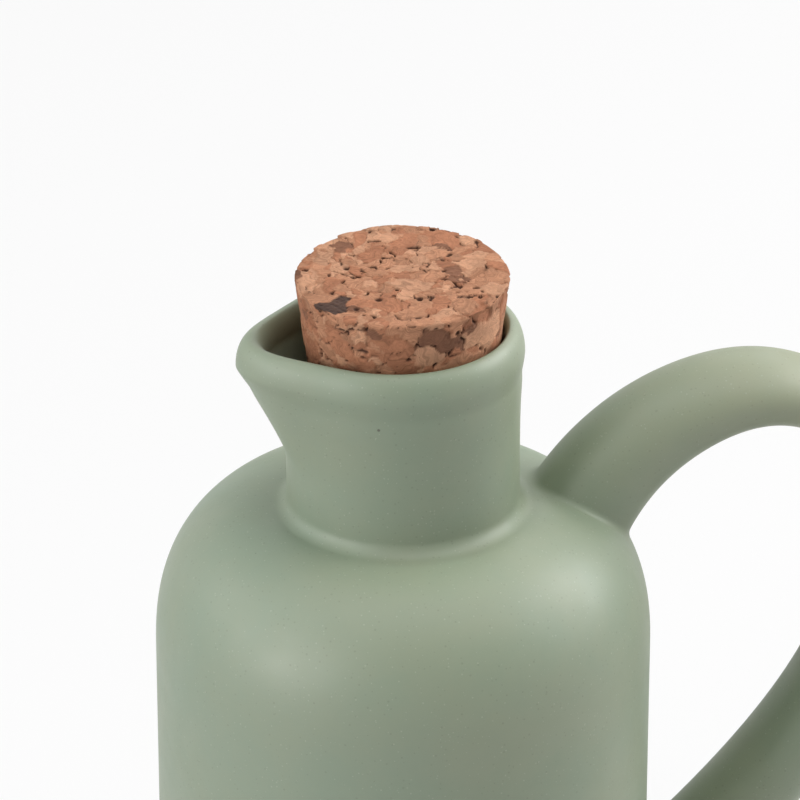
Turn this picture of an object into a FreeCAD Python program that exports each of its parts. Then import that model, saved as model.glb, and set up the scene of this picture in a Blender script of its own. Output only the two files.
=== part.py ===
"""Oil jug: a stoneware bottle with a pouring lip, a loop handle and a cork stopper.

Lengths are in millimetres.  The origin is the centre of the base, +Z is up,
the pouring spout points along -X and the handle stands out along +X.
"""
import FreeCAD, Part
import math
import os

from FreeCAD import Vector

# ---- body ----
BODY_RADIUS = 45.0
SHOULDER_HEIGHT = 112.0       # base to the flat top of the shoulder
SHOULDER_DROP = 28.5          # height over which the shoulder rounds into the side
SHOULDER_FLAT_MARGIN = 0.5    # flat ring left outside the fillet at the neck's root
SHOULDER_POWER_ACROSS = 2.07  # how square the shoulder's outline is, across and down
SHOULDER_POWER_DOWN = 2.43
SHOULDER_STEPS = 14
WALL = 4.0
FLOOR_THICKNESS = 5.0
FOOT_ROUNDING = 3.0

# ---- neck, rim and spout ----
NECK_RADIUS = 20.95
NECK_WALL = 4.55
NECK_ROOT_FILLET = 2.5
NECK_RISE = 30.5              # shoulder to the level where the rim starts to round over
RIM_FLARE = 0.75              # how far the rim stands out beyond the neck, away from the spout
RIM_WALL = 3.8
RIM_FLARE_HEIGHT = 15.7       # the part of the neck that flares out to the rim
RIM_CREST_RISE = 5.2          # how far the rounded rim stands above its widest level
RIM_CREST_INSET = 2.6         # from the rim's outside to its crest
SPOUT_REACH = 8.7             # how far the spout's tip stands out beyond the rim
SPOUT_START = 11.8            # height above the shoulder where the spout starts to grow
SPOUT_BROAD_SHARE = 0.25      # share of the reach that belongs to the broad swelling
SPOUT_BROAD_POWER = 2.46
SPOUT_CREASE_ANGLE = 0.42     # radians, half-width of the narrow swelling at the tip
CREST_START = math.radians(78)  # the rim's rounding stops here, beside a narrow flat crest
NECK_LEVELS = 12              # sections from the shoulder up to the rim's widest level
RIM_LEVELS = 5                # sections over the rim's rounding
RIM_POINTS = 36
NEARBY_TURN = 1e-4            # radians, the step that finds an outline's direction

# ---- cork stopper ----
CORK_LENGTH = 34.0
CORK_TAPER = math.radians(6.5)    # half-angle
CORK_SEAT_HEIGHT = 21.0           # above the shoulder: where the cork meets the bore
CORK_SEAT_GAP = 0.15
CORK_STANDS_OUT = 10.1            # cork's top above the rim's crest
CORK_LEAN = math.radians(2.2)
CORK_LEAN_HEADING = math.radians(-115)   # anticlockwise from +X: towards the front
CORK_EDGE = 0.6

# ---- handle ----
HANDLE_WIDTH = 19.0
HANDLE_REACH = 49.5           # body's side to the handle's furthest control point
HANDLE_RISE = 15.0            # shoulder to the handle's highest control point
HANDLE_FOOT_HEIGHT = 13.0     # base to the handle's lower root
HANDLE_STRETCHES = 3          # the handle is made in stretches that share their end sections
STRETCH_SECTIONS = 7
HANDLE_SECTION_POINTS = 16
# Control points of the handle's middle line: outwards from the body's side, in reaches, and
# up from the shoulder in rises or, where negative, down from it in drops to the lower root.
HANDLE_LINE = (
    (-0.30, -0.12),
    (-0.18, 0.13),
    (0.19, 1.00),
    (0.58, 0.97),
    (0.85, 0.30),
    (1.00, -0.23),
    (0.71, -0.64),
    (-0.14, -1.00),
)
# Thickness of the handle at fractions of its middle line.
HANDLE_THICKNESS = ((0.0, 21.6), (0.15, 17.0), (0.5, 10.2), (0.85, 12.8), (1.0, 19.9))

UP = Vector(0, 0, 1)
EDGE_TOLERANCE = 0.1          # how near its expected place an edge is looked for
RIM_LEVEL = SHOULDER_HEIGHT + NECK_RISE
RIM_RADIUS = NECK_RADIUS + RIM_FLARE
BORE_RADIUS = NECK_RADIUS - NECK_WALL
SHOULDER_FLAT_RADIUS = NECK_RADIUS + NECK_ROOT_FILLET + SHOULDER_FLAT_MARGIN


def unit_share(value, start, end):
    """Return how far value lies from start to end, held between 0 and 1."""
    return min(max((value - start) / (end - start), 0.0), 1.0)


def interpolated(value, table):
    """Return the value read from a table of (place, amount) by straight lines."""
    for (start, low), (end, high) in zip(table, table[1:]):
        if value <= end:
            return low + (high - low) * unit_share(value, start, end)
    return table[-1][1]


def shoulder_edge(outer_radius, flat_radius, top, bottom):
    """Return the rounded shoulder, a superellipse from the flat top down to the side."""
    points = []
    for step in range(SHOULDER_STEPS + 1):
        turn = math.pi / 2 * step / SHOULDER_STEPS
        across = math.sin(turn) ** (2 / SHOULDER_POWER_ACROSS)
        down = math.cos(turn) ** (2 / SHOULDER_POWER_DOWN)
        radius = flat_radius + (outer_radius - flat_radius) * across
        points.append(Vector(radius, 0, bottom + (top - bottom) * down))
    curve = Part.BSplineCurve()
    curve.interpolate(Points=points, InitialTangent=Vector(1, 0, 0), FinalTangent=Vector(0, 0, -1))
    return curve.toShape()


def revolved(outline_edges):
    """Return the solid of an outline that starts and ends on the Z axis, turned about it."""
    face = Part.Face(Part.Wire(Part.__sortEdges__(outline_edges)))
    return face.revolve(Vector(0, 0, 0), UP, 360)


def outer_body():
    """Return the solid body with its rounded foot, straight side and shoulder."""
    side_top = SHOULDER_HEIGHT - SHOULDER_DROP
    base = Vector(0, 0, 0)
    base_rim = Vector(BODY_RADIUS - FOOT_ROUNDING, 0, 0)
    foot_middle = Vector(
        BODY_RADIUS - FOOT_ROUNDING * (1 - math.sqrt(0.5)),
        0,
        FOOT_ROUNDING * (1 - math.sqrt(0.5)),
    )
    side_foot = Vector(BODY_RADIUS, 0, FOOT_ROUNDING)
    top_rim = Vector(SHOULDER_FLAT_RADIUS, 0, SHOULDER_HEIGHT)
    top = Vector(0, 0, SHOULDER_HEIGHT)
    return revolved([
        Part.makeLine(base, base_rim),
        Part.Arc(base_rim, foot_middle, side_foot).toShape(),
        Part.makeLine(side_foot, Vector(BODY_RADIUS, 0, side_top)),
        shoulder_edge(BODY_RADIUS, SHOULDER_FLAT_RADIUS, SHOULDER_HEIGHT, side_top),
        Part.makeLine(top_rim, top),
        Part.makeLine(top, base),
    ])


def body_hollow():
    """Return the space inside the body, up to the underside of the shoulder."""
    radius = BODY_RADIUS - WALL
    side_top = SHOULDER_HEIGHT - SHOULDER_DROP
    ceiling = SHOULDER_HEIGHT - WALL
    corner = FOOT_ROUNDING
    flat_radius = BORE_RADIUS + SHOULDER_FLAT_MARGIN
    floor_centre = Vector(0, 0, FLOOR_THICKNESS)
    floor_rim = Vector(radius - corner, 0, FLOOR_THICKNESS)
    corner_middle = Vector(
        radius - corner * (1 - math.sqrt(0.5)),
        0,
        FLOOR_THICKNESS + corner * (1 - math.sqrt(0.5)),
    )
    side_foot = Vector(radius, 0, FLOOR_THICKNESS + corner)
    top = Vector(0, 0, ceiling)
    return revolved([
        Part.makeLine(floor_centre, floor_rim),
        Part.Arc(floor_rim, corner_middle, side_foot).toShape(),
        Part.makeLine(side_foot, Vector(radius, 0, side_top)),
        shoulder_edge(radius, flat_radius, ceiling, side_top),
        Part.makeLine(Vector(flat_radius, 0, ceiling), top),
        Part.makeLine(top, floor_centre),
    ])


def spout_swelling(turn, height):
    """Return how far the spout stands out at a turn from its tip and a height above the shoulder."""
    broad = ((1 + math.cos(turn)) / 2) ** SPOUT_BROAD_POWER
    narrow = math.exp(-((turn / SPOUT_CREASE_ANGLE) ** 2))
    shape = SPOUT_BROAD_SHARE * broad + (1 - SPOUT_BROAD_SHARE) * narrow
    return SPOUT_REACH * unit_share(height, SPOUT_START, NECK_RISE) * shape


def outside_radius(height):
    """Return the neck's outer radius on the handle's side, above the shoulder."""
    flare = unit_share(height, NECK_RISE - RIM_FLARE_HEIGHT, NECK_RISE)
    return NECK_RADIUS + RIM_FLARE * flare ** 2


def bore_radius(height):
    """Return the bore's radius, which opens from the cork's seat up to the rim."""
    opening = unit_share(height, CORK_SEAT_HEIGHT, NECK_RISE)
    return BORE_RADIUS + (RIM_RADIUS - RIM_WALL - BORE_RADIUS) * opening


def neck_section(radius_at, height, inset, level):
    """Return a closed wire: the neck's outline at a height, moved inwards and set at a level."""
    points = []
    for index in range(RIM_POINTS):
        heading = 2 * math.pi * index / RIM_POINTS
        places = []
        for angle in (heading - NEARBY_TURN, heading, heading + NEARBY_TURN):
            turn = abs((angle % (2 * math.pi)) - math.pi)
            radius = radius_at(height) + spout_swelling(turn, height)
            places.append(Vector(radius * math.cos(angle), radius * math.sin(angle), level))
        along = (places[2] - places[0]).normalize()
        points.append(places[1] + UP.cross(along) * inset)
    curve = Part.BSplineCurve()
    curve.interpolate(Points=points, PeriodicFlag=True)
    return Part.Wire(curve.toShape())


def levels(start, end, count):
    """Return evenly spaced values from start to end."""
    return [start + (end - start) * step / (count - 1) for step in range(count)]


def outer_neck():
    """Return the solid neck with its flared rim and spout, rounded up to the crest."""
    sections = []
    for height in levels(-WALL / 2, NECK_RISE, NECK_LEVELS):
        sections.append(neck_section(outside_radius, height, 0, SHOULDER_HEIGHT + height))
    for turn in levels(0, CREST_START, RIM_LEVELS)[1:]:
        inset = RIM_CREST_INSET * (1 - math.cos(turn))
        level = RIM_LEVEL + RIM_CREST_RISE * math.sin(turn)
        sections.append(neck_section(outside_radius, NECK_RISE, inset, level))
    return Part.makeLoft(sections, True, False)


def neck_bore():
    """Return the space in the neck and the spout's trough, out past the rim's crest."""
    inner_rounding = RIM_WALL - RIM_CREST_INSET
    sections = []
    for height in levels(-2 * WALL, NECK_RISE, NECK_LEVELS):
        sections.append(neck_section(bore_radius, height, 0, SHOULDER_HEIGHT + height))
    for turn in levels(0, CREST_START, RIM_LEVELS)[1:]:
        outset = inner_rounding * (1 - math.cos(turn))
        level = RIM_LEVEL + RIM_CREST_RISE * math.sin(turn)
        sections.append(neck_section(bore_radius, NECK_RISE, -outset, level))
    bore = Part.makeLoft(sections, True, False)
    lid_wire = sections[-1]
    lid = Part.Face(lid_wire).extrude(UP * RIM_CREST_RISE)
    return [bore, lid]


def handle_line():
    """Return the handle's middle line, a curve in the XZ plane from upper to lower root."""
    drop = SHOULDER_HEIGHT - HANDLE_FOOT_HEIGHT
    poles = []
    for outwards, up in HANDLE_LINE:
        height = up * (HANDLE_RISE if up > 0 else drop)
        poles.append(Vector(BODY_RADIUS + outwards * HANDLE_REACH, 0, SHOULDER_HEIGHT + height))
    curve = Part.BSplineCurve()
    curve.buildFromPoles(poles)
    return curve


def handle_section(line, share):
    """Return the handle's oval section at a share of its middle line."""
    place = line.FirstParameter + share * (line.LastParameter - line.FirstParameter)
    centre = line.value(place)
    along = line.tangent(place)[0]
    across = Vector(0, 1, 0)
    outwards = across.cross(along)
    thickness = interpolated(share, HANDLE_THICKNESS)
    points = []
    for index in range(HANDLE_SECTION_POINTS):
        turn = 2 * math.pi * index / HANDLE_SECTION_POINTS
        offset = outwards * (thickness / 2 * math.cos(turn)) + across * (HANDLE_WIDTH / 2 * math.sin(turn))
        points.append(centre + offset)
    curve = Part.BSplineCurve()
    curve.interpolate(Points=points, PeriodicFlag=True)
    return Part.Wire(curve.toShape())


def handle():
    """Return the loop handle, whose two ends run into the body's wall."""
    line = handle_line()
    ends = levels(0, 1, HANDLE_STRETCHES + 1)
    stretches = []
    for start, end in zip(ends, ends[1:]):
        sections = [handle_section(line, share) for share in levels(start, end, STRETCH_SECTIONS)]
        stretches.append(Part.makeLoft(sections, True, False))
    return stretches[0].fuse(stretches[1:])


def neck_root_edges(shape):
    """Return the edges where the neck's outside meets the shoulder's flat top."""
    found = []
    for edge in shape.Edges:
        box = edge.BoundBox
        distances = (box.ZMin - SHOULDER_HEIGHT, box.ZMax - SHOULDER_HEIGHT, box.XMax - NECK_RADIUS)
        if all(abs(distance) < EDGE_TOLERANCE for distance in distances):
            found.append(edge)
    return found


def jug():
    """Return the jug: one piece of stoneware, hollow and open at the neck."""
    bottle = outer_body().fuse(outer_neck())
    bottle = bottle.makeFillet(NECK_ROOT_FILLET, neck_root_edges(bottle))
    vessel = bottle.fuse(handle())
    return vessel.cut([body_hollow()] + neck_bore())


def cork():
    """Return the tapered cork, seated in the bore and leaning a little towards the front."""
    top_height = NECK_RISE + RIM_CREST_RISE + CORK_STANDS_OUT
    seat_radius = BORE_RADIUS - CORK_SEAT_GAP
    top_radius = seat_radius + (top_height - CORK_SEAT_HEIGHT) * math.tan(CORK_TAPER)
    bottom_radius = top_radius - CORK_LENGTH * math.tan(CORK_TAPER)
    bottom_level = SHOULDER_HEIGHT + top_height - CORK_LENGTH
    stopper = Part.makeCone(bottom_radius, top_radius, CORK_LENGTH, Vector(0, 0, bottom_level))
    stopper = stopper.makeChamfer(CORK_EDGE, [edge for edge in stopper.Edges if edge.Closed])
    lean_axis = Vector(-math.sin(CORK_LEAN_HEADING), math.cos(CORK_LEAN_HEADING), 0)
    seat_centre = Vector(0, 0, SHOULDER_HEIGHT + CORK_SEAT_HEIGHT)
    stopper.rotate(seat_centre, lean_axis, math.degrees(CORK_LEAN))
    return stopper


os.makedirs("parts", exist_ok=True)
for node, shape in (("jug", jug()), ("cork", cork())):
    solids = shape.Solids
    if len(solids) != 1 or not solids[0].isValid():
        raise ValueError(f"{node} should be one valid solid, found {len(solids)}")
    solids[0].exportStep(f"parts/{node}.step")
    box = solids[0].BoundBox
    print(f"{node}: {solids[0].Volume / 1000:.1f} cm3, X {box.XMin:.1f}..{box.XMax:.1f}, "
          f"Y {box.YMin:.1f}..{box.YMax:.1f}, Z {box.ZMin:.1f}..{box.ZMax:.1f}")
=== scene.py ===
"""Looks of the oil jug: glazed stoneware, an agglomerated cork stopper and a plain studio stage.

Lengths are in metres, in the jug's own frame: the origin is the centre of the base, +Z is up,
the spout points along -X and the handle stands out along +X.
"""
import math

import bpy
import numpy as np
from bpy.props import FloatProperty, FloatVectorProperty, IntProperty, PointerProperty
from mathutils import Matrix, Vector


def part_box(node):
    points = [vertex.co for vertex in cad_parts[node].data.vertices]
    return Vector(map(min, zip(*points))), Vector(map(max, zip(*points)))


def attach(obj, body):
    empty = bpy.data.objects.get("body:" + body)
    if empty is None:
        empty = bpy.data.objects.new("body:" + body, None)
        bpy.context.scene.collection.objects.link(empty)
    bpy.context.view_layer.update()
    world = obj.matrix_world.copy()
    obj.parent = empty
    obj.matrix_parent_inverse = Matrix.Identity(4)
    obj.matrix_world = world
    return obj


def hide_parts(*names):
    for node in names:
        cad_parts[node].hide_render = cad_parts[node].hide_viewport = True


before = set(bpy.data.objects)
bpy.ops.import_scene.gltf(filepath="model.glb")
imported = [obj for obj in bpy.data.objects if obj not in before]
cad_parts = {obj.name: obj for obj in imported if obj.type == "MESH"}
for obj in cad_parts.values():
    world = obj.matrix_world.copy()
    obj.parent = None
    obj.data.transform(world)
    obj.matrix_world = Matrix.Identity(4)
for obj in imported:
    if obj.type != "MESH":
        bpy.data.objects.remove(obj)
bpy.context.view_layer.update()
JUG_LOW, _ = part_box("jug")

bl_info = {
    "name": "Oil jug",
    "version": (1, 0, 0),
    "blender": (4, 5, 0),
    "location": "3D View > Sidebar > Oil jug",
    "description": "Makes a glazed stoneware oil jug with a cork stopper, and its studio stage",
    "category": "Add Mesh",
}

MM = 0.001
TAU = 2 * math.pi


# ---------------------------------------------------------------- sizes and colours

def length(name, description, default):
    """Return a length property, in metres."""
    return FloatProperty(name=name, description=description, default=default, unit="LENGTH", precision=5)


def angle(name, description, degrees):
    """Return an angle property, given in degrees."""
    return FloatProperty(name=name, description=description, default=math.radians(degrees),
                         subtype="ANGLE")


def plain_number(name, description, default):
    """Return a property without a unit."""
    return FloatProperty(name=name, description=description, default=default)


def colour(name, description, default):
    """Return a linear colour property."""
    return FloatVectorProperty(name=name, description=description, default=default, size=3,
                               min=0, max=1, subtype="COLOR")


class OilJugBody(bpy.types.PropertyGroup):
    """Sizes of the jug's hollow body, shoulder and foot."""

    radius: length("Radius", "Outside of the body's straight side", -JUG_LOW.y)
    shoulder_height: length("Shoulder height", "Base to the flat top of the shoulder", 112 * MM)
    shoulder_drop: length("Shoulder drop", "Height over which the shoulder rounds off", 28.5 * MM)
    shoulder_flat: length("Shoulder flat", "Radius where the shoulder's rounding starts", 23.95 * MM)
    power_across: plain_number("Squareness across", "Power of the shoulder's outline across", 2.07)
    power_down: plain_number("Squareness down", "Power of the shoulder's outline down", 2.43)
    wall: length("Wall", "Thickness of the side", 4 * MM)
    floor: length("Floor", "Thickness of the floor", 5 * MM)
    foot_rounding: length("Foot rounding", "Rounding between the side and the base", 3 * MM)


class OilJugNeck(bpy.types.PropertyGroup):
    """Sizes of the neck, its rim and its pouring spout."""

    radius: length("Radius", "Outside of the neck above its root", 20.95 * MM)
    root_fillet: length("Root fillet", "Rounding between the neck and the shoulder", 2.5 * MM)
    rise: length("Rise", "Shoulder to the widest level of the rim", 30.5 * MM)
    flare: length("Flare", "How far the rim stands out beyond the neck", 0.75 * MM)
    flare_height: length("Flare height", "Height of the flared part", 15.7 * MM)
    crest_rise: length("Crest rise", "Widest level of the rim to its crest", 5.1 * MM)
    crest_inset: length("Crest inset", "Outside of the rim to its crest", 2.6 * MM)
    rim_wall: length("Rim wall", "Thickness at the rim's widest level", 3.8 * MM)
    bore: length("Bore", "Radius of the bore where the cork seats", 16.4 * MM)
    seat_height: length("Seat height", "Shoulder to the level where the cork seats", 21 * MM)
    spout_reach: length("Spout reach", "How far the spout's tip stands out", 8.7 * MM)
    inner_share: plain_number("Inner share", "Share of the spout's reach on the inside", 0.8)
    spout_start: length("Spout start", "Shoulder to the level where the spout starts", 11.8 * MM)
    spout_softness: length("Spout softness", "Height over which the spout's start is rounded", 2 * MM)
    broad_share: plain_number("Broad share", "Share of the reach in the broad swelling", 0.25)
    broad_power: plain_number("Broad power", "How fast the broad swelling dies away", 2.46)
    crease_angle: angle("Crease angle", "Half-width of the narrow swelling at the tip", 24.06)
    groove_depth: length("Groove depth", "Depth of the soft groove under the lip", 0.18 * MM)
    groove_height: length("Groove height", "Shoulder to the groove under the lip", 27.0 * MM)
    groove_width: length("Groove width", "Half-width of the groove under the lip", 1.6 * MM)


class OilJugHandle(bpy.types.PropertyGroup):
    """Sizes of the loop handle."""

    width: length("Width", "Across the handle", 19 * MM)
    reach: length("Reach", "Body's side to the furthest control point", 49.5 * MM)
    rise: length("Rise", "Shoulder to the highest control point", 15 * MM)
    foot_height: length("Foot height", "Base to the lower root", 13 * MM)
    fillet: length("Fillet", "Rounding where the handle meets the body", 1.3 * MM)


class OilJugGlaze(bpy.types.PropertyGroup):
    """Colours and finish of the satin glaze."""

    leaf: colour("Leaf green", "Glaze where it is thick", (0.197, 0.260, 0.184))
    sage: colour("Sage", "Most of the glaze", (0.235, 0.283, 0.198))
    cool: colour("Cool green", "Glaze on the spout's side", (0.228, 0.288, 0.216))
    # a lighter warm grey, laid on outwards and upwards over the handle's top and in clouds of its own
    warm_grey: colour("Warm grey", "Glaze where it is thin", (0.290, 0.300, 0.200))
    speck: colour("Pale speck", "Undissolved grains in the glaze", (0.50, 0.52, 0.42))
    # the pinhole colour is also the colour of the painted shade in the crease at the neck's root
    pinhole_and_shade: colour("Pinhole", "Small dark pits", (0.07, 0.06, 0.045))
    bare_clay: colour("Bare clay", "Unglazed base", (0.52, 0.44, 0.34))
    roughness: plain_number("Roughness", "Roughness of the satin surface", 0.50)
    gloss: plain_number("Gloss", "Strength of the mirrored light: 0.5 is plain glass", 0.68)


class OilJugCork(bpy.types.PropertyGroup):
    """Sizes and colours of the agglomerated cork stopper."""

    length: length("Length", "Top to bottom", 34 * MM)
    taper: angle("Taper", "Half-angle of the cone", 6.5)
    seat_gap: length("Seat gap", "Clearance in the bore", 0.15 * MM)
    top_height: length("Top height", "Shoulder to the cork's top", 45.8 * MM)
    edge: length("Edge", "Rounding of the top and bottom edges", 0.5 * MM)
    lean: angle("Lean", "Lean of the stopper", 2.2)
    lean_heading: angle("Lean heading", "Direction in which the stopper leans", -115)
    facing: angle("Facing", "Heading from which placed grains and pits are counted", -15)
    chip_size: length("Chip size", "Usual distance between the middles of two chips", 2.4 * MM)
    relief: length("Relief", "How far chips stand proud or sunk", 0.13 * MM)
    seed: IntProperty(name="Seed", description="Picks the arrangement of the chips", default=7)
    tan: colour("Tan", "Most chips", (0.42, 0.205, 0.117))
    pale: colour("Pale", "Freshly cut chips", (0.50, 0.265, 0.158))
    rust: colour("Rust", "Reddish chips", (0.37, 0.16, 0.087))
    brown: colour("Brown", "Old chips", (0.215, 0.098, 0.057))
    # Seams take this colour as dark joints between the chips; pits take it as painted shade
    joint_and_pit_shade: colour("Crevice", "Seams and pits between the chips", (0.042, 0.018, 0.012))
    bark: colour("Bark", "Dark grains of outer bark", (0.070, 0.040, 0.030))


class OilJugStage(bpy.types.PropertyGroup):
    """Camera and light of the studio stage."""

    camera_heading: angle("Camera heading", "Turn of the camera about the jug", -15)
    camera_elevation: angle("Camera elevation", "Height of the camera above level", 28.5)
    camera_distance: length("Camera distance", "Camera to the middle of the shoulder", 1.1)
    lens: FloatProperty(name="Lens", description="Focal length in millimetres", default=274.8)
    aim_up: length("Aim up", "How far the camera aims above the shoulder", 18 * MM)
    aim_right: length("Aim right", "How far the camera aims beside the axis", -0.57 * MM)
    brightness: plain_number("Brightness", "Strength of all the softboxes", 1.0)
    fill: plain_number("Fill", "Strength of the even light from all round", 0.03)


# ---------------------------------------------------------------- outlines

# Rings along each stretch of the vessel's outline, both ends counted, and columns round it.
BASE_RINGS = 12
FOOT_RINGS = 9
SIDE_RINGS = 30
SHOULDER_RINGS = 44
ROOT_RINGS = 12
NECK_RINGS = 44
RIM_RINGS = 33
INNER_SHOULDER_RINGS = 24
INNER_SIDE_RINGS = 12
INNER_FOOT_RINGS = 7
FLOOR_RINGS = 10
VESSEL_COLUMNS = 256


def unit_share(value, start, end):
    """Return how far value lies from start to end, held between 0 and 1."""
    return np.clip((value - start) / (end - start), 0, 1)


def unit(vectors):
    """Return the vectors of an array at length 1."""
    return vectors / np.linalg.norm(vectors, axis=-1, keepdims=True)


def between(start, end, count):
    """Return the inner ones of count evenly spaced values from start to end."""
    return np.linspace(start, end, count)[1:-1]


def quarter_turn(count):
    """Return count evenly spaced angles from 0 to a quarter turn."""
    return np.linspace(0, math.pi / 2, count)


def outline_rows(radii, heights):
    """Return an outline as rows of radius and height; either may be one number for all the rows."""
    return np.column_stack(np.broadcast_arrays(radii, heights))


def low_rounding(side, floor, rounding, turn):
    """Return the quarter round that leads from a level floor, at turn 0, up into an upright side."""
    return outline_rows(side - rounding + rounding * np.sin(turn),
                        floor + rounding - rounding * np.cos(turn))


def shoulder_outline(body, outer, flat, top, bottom, count):
    """Return a superellipse from the flat top down to the side: across**p + down**q = 1."""
    turn = quarter_turn(count)
    across = np.sin(turn) ** (2 / body.power_across)
    down = np.cos(turn) ** (2 / body.power_down)
    return outline_rows(flat + (outer - flat) * across, bottom + (top - bottom) * down)


def outer_outline(body):
    """Return the body's outside as rows of radius and height: base, foot arc, side and shoulder."""
    foot = body.foot_rounding
    side_top = body.shoulder_height - body.shoulder_drop
    shoulder = shoulder_outline(body, body.radius, body.shoulder_flat, body.shoulder_height,
                                side_top, SHOULDER_RINGS)
    return np.concatenate([
        outline_rows(between(0, body.radius - foot, BASE_RINGS), 0),
        low_rounding(body.radius, 0, foot, quarter_turn(FOOT_RINGS)),
        outline_rows(body.radius, between(foot, side_top, SIDE_RINGS)),
        shoulder[::-1],
    ])


BORE_STEP = 0.5 * MM       # the hollow's ceiling starts this far out from the bore


def inner_outline(body, neck):
    """Return the hollow's outline as rows of radius and height, from the bore down to the floor."""
    side = body.radius - body.wall
    side_top = body.shoulder_height - body.shoulder_drop
    ceiling = body.shoulder_height - body.wall
    foot = body.foot_rounding
    return np.concatenate([
        shoulder_outline(body, side, neck.bore + BORE_STEP, ceiling, side_top, INNER_SHOULDER_RINGS),
        outline_rows(side, between(side_top, body.floor + foot, INNER_SIDE_RINGS)),
        low_rounding(side, body.floor, foot, quarter_turn(INNER_FOOT_RINGS)[::-1]),
        outline_rows(between(side - foot, 0, FLOOR_RINGS), body.floor),
    ])


# ---------------------------------------------------------------- vessel

def spout_growth(neck, height):
    """Return how much of the spout has grown at a height: a ramp with a rounded start, 1 at the rim."""
    def ramp(rise):
        return (rise + np.sqrt(rise ** 2 + neck.spout_softness ** 2)) / 2
    start = ramp(-neck.spout_start)
    top = ramp(neck.rise - neck.spout_start)
    return (ramp(np.minimum(height, neck.rise) - neck.spout_start) - start) / (top - start)


def spout_plan(neck, heading):
    """Return the spout's reach by heading: a broad cosine swelling and a narrow bell at the tip."""
    turn = np.abs(np.mod(heading, TAU) - math.pi)
    broad = ((1 + np.cos(turn)) / 2) ** neck.broad_power
    narrow = np.exp(-(turn / neck.crease_angle) ** 2)
    return neck.spout_reach * (neck.broad_share * broad + (1 - neck.broad_share) * narrow)


def swollen_rows(neck, radius, height, heading, base, share):
    """Return rings of the given radii and heights above base, swollen by a share of the spout."""
    swelling = share * spout_growth(neck, height)[:, None] * spout_plan(neck, heading)[None]
    reach = radius[:, None] + swelling
    level = np.broadcast_to(base + height[:, None], reach.shape)
    return np.stack([reach * np.cos(heading), reach * np.sin(heading), level], axis=-1)


def rim_plans(neck, heading):
    """Return the rim's plan at its widest level outside, at its crest, and inside.

    The crest is the outside moved inwards by the crest's inset, square to the outside's own plan.
    """
    spread = np.stack([np.cos(heading), np.sin(heading)], axis=-1)
    reach = neck.radius + neck.flare + spout_plan(neck, heading)
    outside = reach[:, None] * spread
    along = unit(np.roll(outside, -1, axis=0) - np.roll(outside, 1, axis=0))
    inwards = np.stack([-along[:, 1], along[:, 0]], axis=-1)
    thicker = (1 - neck.inner_share) * spout_plan(neck, heading)
    inside = (reach - neck.rim_wall - thicker)[:, None] * spread
    return outside, outside + inwards * neck.crest_inset, inside


def neck_outside(body, neck, heading):
    """Return the neck's outside as a grid: the root's arc, then the wall swelling to the spout.

    The flare grows with the square of height, and a soft groove under the lip is a bell in height.
    """
    turn = quarter_turn(ROOT_RINGS)
    fillet = neck.root_fillet
    root_radius = neck.radius + fillet - fillet * np.sin(turn)
    root_height = fillet - fillet * np.cos(turn)
    rise = np.linspace(fillet, neck.rise, NECK_RINGS)[1:]
    flare = unit_share(rise, neck.rise - neck.flare_height, neck.rise)
    groove = neck.groove_depth * np.exp(-((rise - neck.groove_height) / neck.groove_width) ** 2)
    radius = np.concatenate([root_radius, neck.radius + neck.flare * flare ** 2 - groove])
    height = np.concatenate([root_height, rise])
    return swollen_rows(neck, radius, height, heading, body.shoulder_height, 1)


def neck_inside(body, neck, heading):
    """Return the bore as a grid: straight below the seat and opening evenly from it to the rim."""
    height = np.linspace(neck.rise, -body.wall, NECK_RINGS)
    opening = unit_share(height, neck.seat_height, neck.rise)
    mouth = neck.radius + neck.flare - neck.rim_wall
    radius = neck.bore + (mouth - neck.bore) * opening
    return swollen_rows(neck, radius, height, heading, body.shoulder_height, neck.inner_share)


def rim_surface(body, neck, heading):
    """Return the rim as a grid: a quarter oval up to the crest and a quarter oval down inside."""
    over = between(0, math.pi, RIM_RINGS)[:, None, None]
    outside, crest, inside = rim_plans(neck, heading)
    start = np.where(over < math.pi / 2, outside, inside)
    flat = start + (crest - start) * (1 - np.abs(np.cos(over)))
    level = body.shoulder_height + neck.rise + neck.crest_rise * np.sin(over)
    return np.concatenate([flat, np.broadcast_to(level, flat.shape[:2] + (1,))], axis=-1)


def round_turn(columns):
    """Return evenly spaced angles once round."""
    return np.arange(columns) * TAU / columns


def turned_rows(outline, heading):
    """Return an outline of radii and heights turned about Z."""
    radius = outline[:, :1]
    level = np.broadcast_to(outline[:, 1:], (len(outline), len(heading)))
    return np.stack([radius * np.cos(heading), radius * np.sin(heading), level], axis=-1)


def vessel_surface(body, neck):
    """Return the vessel as a grid of rings: up the outside, over the rim and down the inside."""
    heading = round_turn(VESSEL_COLUMNS)
    return np.concatenate([
        turned_rows(outer_outline(body), heading),
        neck_outside(body, neck, heading),
        rim_surface(body, neck, heading),
        neck_inside(body, neck, heading),
        turned_rows(inner_outline(body, neck), heading),
    ])


# ---------------------------------------------------------------- handle

HANDLE_COLUMNS = 72
HANDLE_RINGS = 150
FILLET_RINGS = 9
EXIT_STEPS = 400           # steps along half the middle line in which a rail's way out is sought
NEARBY = 1e-4              # share of the middle line over which its direction is taken
SINK_RUN = 0.5             # how far the fillet runs on past its edge, in fillets
SINK_DEPTH = 0.1 * MM      # how deep it dips under the body's surface there
BURIED_DEPTH = 0.2         # how deep the handle's ends lie in the wall, in walls

# Control points of the handle's middle line: outwards from the body's side, in reaches; up from
# the shoulder, in rises or, where negative, in drops to the lower root; and the thickness there.
HANDLE_LINE = np.array([
    (-0.30, -0.12, 21.6 * MM),
    (-0.18, 0.13, 19.5 * MM),
    (0.19, 1.00, 16.0 * MM),
    (0.58, 0.97, 11.9 * MM),
    (0.85, 0.30, 10.8 * MM),
    (1.00, -0.23, 11.85 * MM),
    (0.71, -0.64, 15.9 * MM),
    (-0.14, -1.00, 19.9 * MM),
])


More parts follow.
